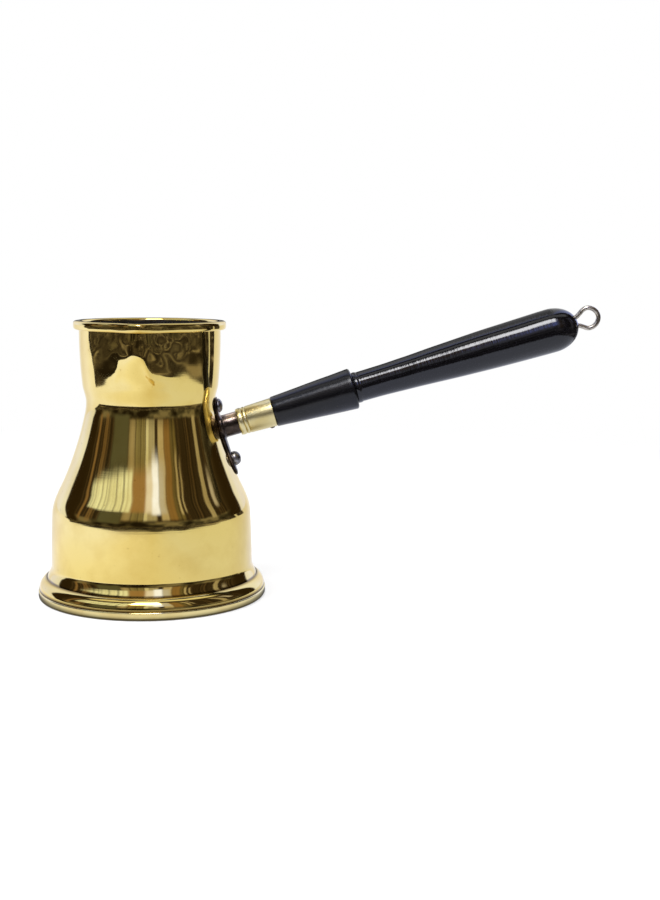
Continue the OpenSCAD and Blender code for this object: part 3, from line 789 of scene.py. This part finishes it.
def black_lacquer(name, gloss, ripple_mm, ripple, ior=1.5):
    """Turned hardwood, stained black and lacquered: lathe rings and a little grain telegraph
    through a hard glossy coat. Wax has the lower IOR."""
    finish, tree, where = new_finish(name)
    lying = add(tree, "Mapping", {"Vector": where},
                {"Rotation": (0, math.radians(HANDLE_TILT), 0)})
    rings_at = add(tree, "Mapping", {"Vector": (lying, "Vector")},
                   {"Scale": (1 / (ripple_mm * MM), 90, 90)})
    rings = clouds(tree, (rings_at, "Vector"), 1.0, 3.0, 0.6)
    grain_at = add(tree, "Mapping", {"Vector": (lying, "Vector")},
                   {"Scale": (1 / (9 * MM), 1 / (0.5 * MM), 1 / (0.5 * MM))})
    grain = clouds(tree, (grain_at, "Vector"), 1.0, 4.0, 0.6)
    colour = ramp(tree, grain, (0.35, tone("#030304")), (0.7, tone("#0B0A0E")))
    lathe = relief(tree, rings, ripple, 0.12)
    coat(tree, {"Base Color": colour, "Normal": relief(tree, grain, 0.12, 0.05, over=lathe)},
         {"Metallic": 0.0, "IOR": ior, "Roughness": gloss})
    return finish


# ---- the studio -------------------------------------------------------------------------

# Places in the room are degrees: azimuths from the camera's side, plus to its right, and
# heights over the level. Light is linear, and 1 is white.
WHITE = (1, 1, 1, 1)
CAMERA_TURN = math.radians(4)
SIDE_SQUINT = 0.7
CLUTTER_TOP, SHELVES_FROM = 10, 17

# What hangs in the room, the later over the earlier: its azimuths, heights and light, its soft
# edges across and upright, and how even it is, from 0, streaked, to 1, plain
HANGINGS = [
    ("brown door frame", (-97, -93), (6, 60), (0.30, 0.20, 0.14), 1.5, 4, 0.5),
    ("shelf end", (-84, -78), (6, 60), (0.26, 0.18, 0.13), 1.5, 4, 0.3),
    ("slate wall", (-66, -38), (9, 32), (0.12, 0.13, 0.125), 3, 4, 1),
    ("grey curtain", (-37, -27), (17, 60), (0.46, 0.42, 0.42), 1, 5, 0.6),
    ("linen curtain", (-26, -11), (17, 60), (0.32, 0.30, 0.24), 1.5, 5, 0.3),
    ("daylight between curtains", (-10, -5), (17, 60), (0.80, 0.84, 1.0), 0.8, 5, 0.9),
    ("net curtain", (-5, 5), (17, 60), (0.54, 0.54, 0.62), 1.5, 5, 0.6),
    ("pale curtain", (11, 21), (17, 60), (0.62, 0.57, 0.60), 1.5, 5, 0.8),
    ("warm cupboard", (21, 31), (17, 60), (0.32, 0.21, 0.12), 1.5, 5, 0.7),
    ("cupboard in shade", (31, 40), (17, 60), (0.20, 0.17, 0.11), 1.5, 5, 0.4),
    ("pale door frame", (74, 80), (10, 60), (0.50, 0.47, 0.50), 1.2, 4, 0.7),
    ("window with leaves", (-88, -29), (33, 60), (1.10, 1.28, 1.75), 3, 2, 0.3),
    ("warm wall", (-29, -7), (33, 60), (0.42, 0.28, 0.19), 3, 3, 0.9),
    ("glow beside the lamp", (-9, 2), (32, 60), (1.0, 1.05, 1.9), 2.5, 4, 1),
    ("lampshade", (10, 19), (31, 60), (0.66, 0.70, 1.2), 3, 5, 0.8),
    ("lath", (37, 39.5), (28, 60), (0.60, 0.56, 0.60), 0.6, 4, 0.9),
    ("second lath", (43, 45), (31, 60), (0.50, 0.46, 0.50), 0.6, 4, 0.9),
    ("mirror's edge", (86, 92), (32, 60), (0.60, 0.60, 0.90), 1.2, 4, 0.7),
    ("white lamp", (0, 10), (29, 60), (1.28, 1.55, 3.9), 2, 4, 1),
    ("ceiling", (-200, 200), (74, 100), (0.95, 0.95, 0.93), 1.5, 5, 1),
    ("lamp for the handle's gleam", (-28, 8), (48, 66), (16.0, 16.0, 16.5), 3, 2, 1),
]
# The white sheets, by azimuths on both sides: the black gap in front of them, where they begin,
# where their cool cloth turns white, where they grow dim, and the slit straight behind the pot
GAP, SHEETS_BEGIN, CLOTH_TURNS = (104, 140), (124, 128), (135, 160)
SHEETS_DIM, SLIT, SLIT_HEIGHTS = (163, 172), (173.5, 176), (3, 48)
DIM_LIGHT, SLIT_LIGHT = 0.45, 0.05
LEFT_SHEET_FORWARD, LEFT_SHEET_STRAIGHT_UP = 12, 20
COOL_CLOTH, GAP_LIGHT = (1.08, 1.22, 2.0, 1), (0.030, 0.020, 0.010, 1)


def turn_to_camera(tree, where):
    """A place or direction turned to the camera, its parts, and its azimuth in radians."""
    turned = add(tree, "Mapping", {"Vector": where}, {"Rotation": (0, 0, -CAMERA_TURN)})
    part = add(tree, "SeparateXYZ", {"Vector": (turned, "Vector")})
    towards = add(tree, "Math", {0: (part, "Y")}, {1: -1.0}, operation="MULTIPLY")
    azimuth = add(tree, "Math", {0: (part, "X"), 1: (towards, 0)}, operation="ARCTAN2")
    return (turned, "Vector"), part, (azimuth, 0)


def room_directions(tree, part, azimuth):
    """The azimuth and height of the direction that a ray leaves in, in degrees."""
    az = add(tree, "Math", {0: azimuth}, {1: 180 / math.pi}, operation="MULTIPLY")
    height = add(tree, "Math", {0: (part, "Z")}, operation="ARCSINE")
    height = add(tree, "Math", {0: (height, 0)}, {1: 180 / math.pi}, operation="MULTIPLY")
    # Things at the sides stand lower, so that they look level in the round pot
    half = add(tree, "Math", {0: (az, 0)}, {1: math.pi / 360}, operation="MULTIPLY")
    squint = add(tree, "Math", {0: (half, 0)}, operation="COSINE")
    squint = add(tree, "Math", {0: (squint, 0)}, {1: SIDE_SQUINT}, operation="MAXIMUM")
    height = add(tree, "Math", {0: (height, 0), 1: (squint, 0)}, operation="DIVIDE")
    return (az, 0), (height, 0)


def furnish_room(tree, turned, az, up):
    """A dim room: low clutter in soft lumps, and over it fine upright streaks of shelves and
    curtains. Gives its light, and the streaks."""
    clutter = ramp(tree, clouds(tree, turned, 2.6, 2.0), (0.40, (0.018, 0.014, 0.010, 1)),
                   (0.52, (0.08, 0.075, 0.068, 1)), (0.62, (0.24, 0.22, 0.21, 1)))
    column = add(tree, "CombineXYZ", {"X": az})
    streaks = clouds(tree, (column, 0), 0.3, 4.0, 0.7)
    shelves = ramp(tree, streaks, (0.42, (0.022, 0.016, 0.010, 1)),
                   (0.55, (0.06, 0.045, 0.035, 1)), (0.64, (0.20, 0.14, 0.10, 1)))
    over = fade(tree, up, CLUTTER_TOP, SHELVES_FROM)
    room = add(tree, "Mix", {0: over, 6: clutter, 7: shelves}, data_type="RGBA")
    return (room, 2), streaks


def hang_up(tree, az, up, glow, streaks):
    """Hangs everything in the room; fine streaks run down a thing unless it is even."""
    for name, azimuths, heights, light, edge, edge_up, even in HANGINGS:
        across = dial(tree, az, *azimuths, edge, edge)
        upright = dial(tree, up, *heights, edge_up, edge_up)
        folds = fade(tree, streaks, 0.40, 0.52, even, ease="LINEAR")
        amount = times(tree, times(tree, across, upright), folds)
        hung = add(tree, "Mix", {0: amount, 6: glow}, {7: (*light, 1)}, label=name,
                   data_type="RGBA")
        glow = (hung, 2)
    return glow


def stretch_sheets(tree, az, up, glow):
    """White sheets at both sides and behind, dimmer straight behind the pot."""
    side = (add(tree, "Math", {0: az}, operation="ABSOLUTE"), 0)
    # The left sheet comes further forward where it meets the table
    on_left = add(tree, "Math", {0: az}, {1: 0.0}, operation="LESS_THAN")
    forward = fade(tree, up, 0.0, LEFT_SHEET_STRAIGHT_UP, LEFT_SHEET_FORWARD, 0.0)
    forward = times(tree, forward, (on_left, 0))
    side_low = (add(tree, "Math", {0: side, 1: forward}, operation="ADD"), 0)
    # A black gap before the sheets draws the dark outline of the reflections
    gap = dial(tree, side_low, *GAP, 6.0, 1.0)
    edged = add(tree, "Mix", {0: gap, 6: glow}, {7: GAP_LIGHT}, data_type="RGBA")
    behind = fade(tree, side, *SHEETS_DIM, 1.0, DIM_LIGHT)
    # Between the sheets, straight behind the pot, the room is dark
    slit = fade(tree, side, *SLIT, ease="LINEAR")
    slit = times(tree, slit, dial(tree, up, *SLIT_HEIGHTS, 1.5, 6.0))
    behind = add(tree, "Mix", {0: slit, 2: behind}, {3: SLIT_LIGHT}, data_type="FLOAT")
    cloth = add(tree, "Mix", {0: fade(tree, side, *CLOTH_TURNS)}, {6: COOL_CLOTH, 7: WHITE},
                data_type="RGBA")
    pale = fade(tree, side_low, *SHEETS_BEGIN)
    sheets = add(tree, "Mix", {0: pale, 6: (edged, 2), 7: (cloth, 2)}, data_type="RGBA")
    return add(tree, "Mix", {6: (sheets, 2), 7: (behind, 0)}, {0: 1.0}, data_type="RGBA",
               blend_type="MULTIPLY")


def light_studio():
    """White surroundings for the eye and for soft light, and for polished metal a dim room on
    the camera's side with tall window strips, a bright ceiling and a lamp."""
    world = bpy.data.worlds.new("studio")
    bpy.context.scene.world = world
    world.use_nodes = True
    tree = world.node_tree
    tree.nodes.clear()
    where = add(tree, "TexCoord")
    turned, part, azimuth = turn_to_camera(tree, (where, "Generated"))
    az, up = room_directions(tree, part, azimuth)
    room, streaks = furnish_room(tree, turned, az, up)
    mirrored = stretch_sheets(tree, az, up, hang_up(tree, az, up, room, streaks))
    # Soft light from all round for matt things, plain white for the eye
    rays = add(tree, "LightPath")
    seen = add(tree, "Mix", {0: (rays, "Is Diffuse Ray"), 6: (mirrored, 2)}, {7: WHITE},
               data_type="RGBA")
    direct = add(tree, "Mix", {0: (rays, "Is Camera Ray"), 6: (seen, 2)}, {7: WHITE},
                 data_type="RGBA")
    background = add(tree, "Background", {"Color": (direct, 2)}, {"Strength": 1.0})
    add(tree, "OutputWorld", {"Surface": (background, 0)})


SOFTBOX_AT, SOFTBOX_AIM, SOFTBOX_D, SOFTBOX_WATTS = (-0.5, -0.25, 0.9), (0.05, 0, 0.05), 0.5, 4.0


def stand_softbox():
    """A round softbox over the left shoulder, which polished metal doesn't show."""
    clear_selection()
    bpy.ops.object.light_add(type="AREA", location=SOFTBOX_AT)
    softbox = bpy.context.object
    softbox.name = "softbox"
    softbox.data.shape = "DISK"
    softbox.data.size = SOFTBOX_D
    softbox.data.energy = SOFTBOX_WATTS
    aim = Vector(SOFTBOX_AIM) - softbox.location
    softbox.rotation_euler = aim.to_track_quat("-Z", "Y").to_euler()
    softbox.visible_glossy = False


TABLE_EDGE, TABLE_EDGE_BLUR = 0.36, 0.005
# The table's front edge ends at these azimuths; to the left it runs on slanting to the back
CUT_LEFT, CUT_LEFT_FAR, CUT_RIGHT = math.radians(103), math.radians(116), math.radians(127)
POST_FROM, POST_TO = math.radians(109), math.radians(112)
SHADOW_REACH = (0.22, 0.5)
DAYLIGHT_REACH = 0.2
DAYLIGHT = [(0.0, (1.22, 1.33, 2.0, 1)), (0.25, (1.2, 1.25, 1.5, 1)),
            (0.5, (0.98, 0.97, 0.96, 1)), (0.72, (0.93, 0.98, 1.2, 1)),
            (1.0, (0.92, 0.96, 1.1, 1))]
FOOT_SHADE, FOOT_SHADE_FROM, FOOT_SHADE_TO = 0.12, 1.01 * BASE_R * MM, 1.2 * BASE_R * MM


def past_the_edge(tree, azimuth, side, far):
    """1 where the floor lies beyond the table's front edge, beside a pale doorpost."""
    beyond = fade(tree, far, TABLE_EDGE - TABLE_EDGE_BLUR, TABLE_EDGE + TABLE_EDGE_BLUR,
                  ease="LINEAR")
    cut = fade(tree, far, 0.35, 1.5, CUT_LEFT, CUT_LEFT_FAR, "LINEAR")
    on_right = add(tree, "Math", {0: azimuth}, {1: 0.0}, operation="GREATER_THAN")
    cut = add(tree, "Mix", {0: (on_right, 0), 2: cut}, {3: CUT_RIGHT}, data_type="FLOAT")
    in_front = add(tree, "Math", {0: side, 1: (cut, 0)}, operation="LESS_THAN")
    post = dial(tree, azimuth, POST_FROM, POST_TO, 0.01, 0.01)
    clear = add(tree, "Math", {1: post}, {0: 1.0}, operation="SUBTRACT")
    return times(tree, beyond, times(tree, (in_front, 0), (clear, 0)))


def table_in_metal(tree, part, side, far):
    """The white table as polished metal shows it: bluish daylight falls on its left side, and
    the pot's foot stands in its own shadow."""
    across = fade(tree, (part, "X"), -DAYLIGHT_REACH, DAYLIGHT_REACH, ease="LINEAR")
    behind = fade(tree, side, math.radians(120), math.radians(150))
    top = add(tree, "Mix", {0: behind, 6: ramp(tree, across, *DAYLIGHT)}, {7: WHITE},
              data_type="RGBA")
    close = fade(tree, far, FOOT_SHADE_FROM, FOOT_SHADE_TO, FOOT_SHADE)
    return add(tree, "Emission", {"Color": (top, 2), "Strength": close})


def room_past_the_edge(tree, turned):
    """The dim room's floor, in soft lumps, which draws curls in the creased neck."""
    dim = ramp(tree, clouds(tree, turned, 3.2, 1.5), (0.40, (0.020, 0.016, 0.014, 1)),
               (0.50, (0.050, 0.042, 0.040, 1)), (0.58, (0.10, 0.09, 0.09, 1)),
               (0.66, (0.34, 0.31, 0.31, 1)))
    return add(tree, "Emission", {"Color": dim}, {"Strength": 1.0})


def lay_floor():
    """A pale table: white to the eye, with the pot's soft shadow; in polished metal its near
    edge shows, with the dim room beyond it."""
    clear_selection()
    bpy.ops.mesh.primitive_plane_add(size=12, location=(0, 0, 0))
    floor = bpy.context.object
    floor.name = "table"
    finish, tree, where = new_finish("table_white_laminate")
    turned, part, azimuth = turn_to_camera(tree, where)
    far = (add(tree, "VectorMath", {0: turned}, operation="LENGTH"), "Value")
    side = (add(tree, "Math", {0: azimuth}, operation="ABSOLUTE"), 0)
    rays = add(tree, "LightPath")
    hidden = times(tree, past_the_edge(tree, azimuth, side, far), (rays, "Is Glossy Ray"))
    lit = add(tree, "BsdfDiffuse", inputs={"Color": (0.92, 0.92, 0.92, 1)})
    white = add(tree, "Emission", inputs={"Color": WHITE, "Strength": 1.0})
    # The shadow fades out into plain white before the table ends
    shadow_end = fade(tree, far, *SHADOW_REACH, 0.5)
    for_eye = add(tree, "MixShader", {0: shadow_end, 1: (lit, 0), 2: (white, 0)})
    is_camera = add(tree, "MixShader",
                    {0: (rays, "Is Camera Ray"), 1: (lit, 0), 2: (for_eye, 0)})
    mirrored = table_in_metal(tree, part, side, far)
    in_metal = add(tree, "MixShader",
                   {0: (rays, "Is Glossy Ray"), 1: (is_camera, 0), 2: (mirrored, 0)})
    room = room_past_the_edge(tree, turned)
    table = add(tree, "MixShader", {0: hidden, 1: (in_metal, 0), 2: (room, 0)})
    add(tree, "OutputMaterial", {"Surface": (table, 0)})
    floor.data.materials.append(finish)


CAMERA_AT, CAMERA_LENS = (0.0319, -0.4687, 0.1181), 52.0
CAMERA_TILT, CAMERA_ROLL = math.radians(82.05), math.radians(0.45)


def place_camera():
    """At arm's length, a little over the pot, looking slightly down on it."""
    clear_selection()
    bpy.ops.object.camera_add(location=CAMERA_AT)
    camera = bpy.context.object
    camera.name = "camera"
    camera.data.lens = CAMERA_LENS
    camera.data.sensor_width = 36.0
    camera.data.clip_start = 0.01
    look = (Matrix.Rotation(-CAMERA_TURN, 4, "Z") @ Matrix.Rotation(CAMERA_TILT, 4, "X")
            @ Matrix.Rotation(CAMERA_ROLL, 4, "Z"))
    camera.rotation_euler = look.to_euler()
    bpy.context.scene.camera = camera


# ---- putting it together ----------------------------------------------------------------

def fit(piece, node, finish, lining=None):
    """Gives a piece its finish and puts it in its CAD node's place."""
    piece.data.materials.clear()
    piece.data.materials.append(finish)
    if lining:
        piece.data.materials.append(lining)
        line_with_tin(piece)
    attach(piece, "root")
    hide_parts(node)


place_camera()
lay_floor()
light_studio()
stand_softbox()

# The brass's crevices, under the foot's bead and in the groove over it, get painted shade
brass = spun_brass("brass_spun_buffed", "#E2C873", "#D9BC66",
                   crevices=[(2.6, 3.9, 0.45), (GROOVE[1] - 0.2, GROOVE[1] + 0.5, 0.3)])
base_brass = spun_brass("brass_turned_base", "#E2D296", "#D6C080", line_mm=0.6, shine=0.07)
ferrule_brass = spun_brass("brass_rolled_ferrule", "#E6D9A4", "#D6C58A", line_mm=0.5, shine=0.34,
                           axis_turn=(0, math.radians(HANDLE_TILT - 90), 0))
tin = tin_lining()
bronze = cast_bronze()
rivet_steel = hammered_steel()
wire_steel = drawn_steel("steel_wire_drawn", 0.28)
tang_steel = drawn_steel("steel_rod_drawn", 0.4)
grip_lacquer = black_lacquer("hardwood_turned_black_lacquer", 0.1, 0.8, 0.5)
collar_lacquer = black_lacquer("hardwood_turned_black_wax", 0.24, 0.7, 0.3, ior=1.43)

fit(make_pot_body(), "pot_body", brass, lining=tin)
fit(make_base(), "base_plate", base_brass, lining=tin)
fit(make_bracket(), "handle_bracket", bronze)
fit(make_rivet("upper_rivet_hammered", UPPER_RIVET_Z, UPPER_HEAD_H, 0.8), "upper_rivet",
    rivet_steel)
fit(make_rivet("lower_rivet_hammered", LOWER_RIVET_Z, LOWER_HEAD_H, 0.7), "lower_rivet",
    rivet_steel)
fit(make_ferrule(), "ferrule", ferrule_brass)
fit(make_brad(), "ferrule_brad", bronze)
fit(make_collar(), "handle_collar", collar_lacquer)
fit(make_grip(), "handle_grip", grip_lacquer)
fit(make_loop(), "hanging_loop", wire_steel)

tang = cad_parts["handle_tang"]
tang.data.materials.clear()
tang.data.materials.append(tang_steel)

scene = bpy.context.scene
scene.view_settings.view_transform = "Standard"

clear_selection()
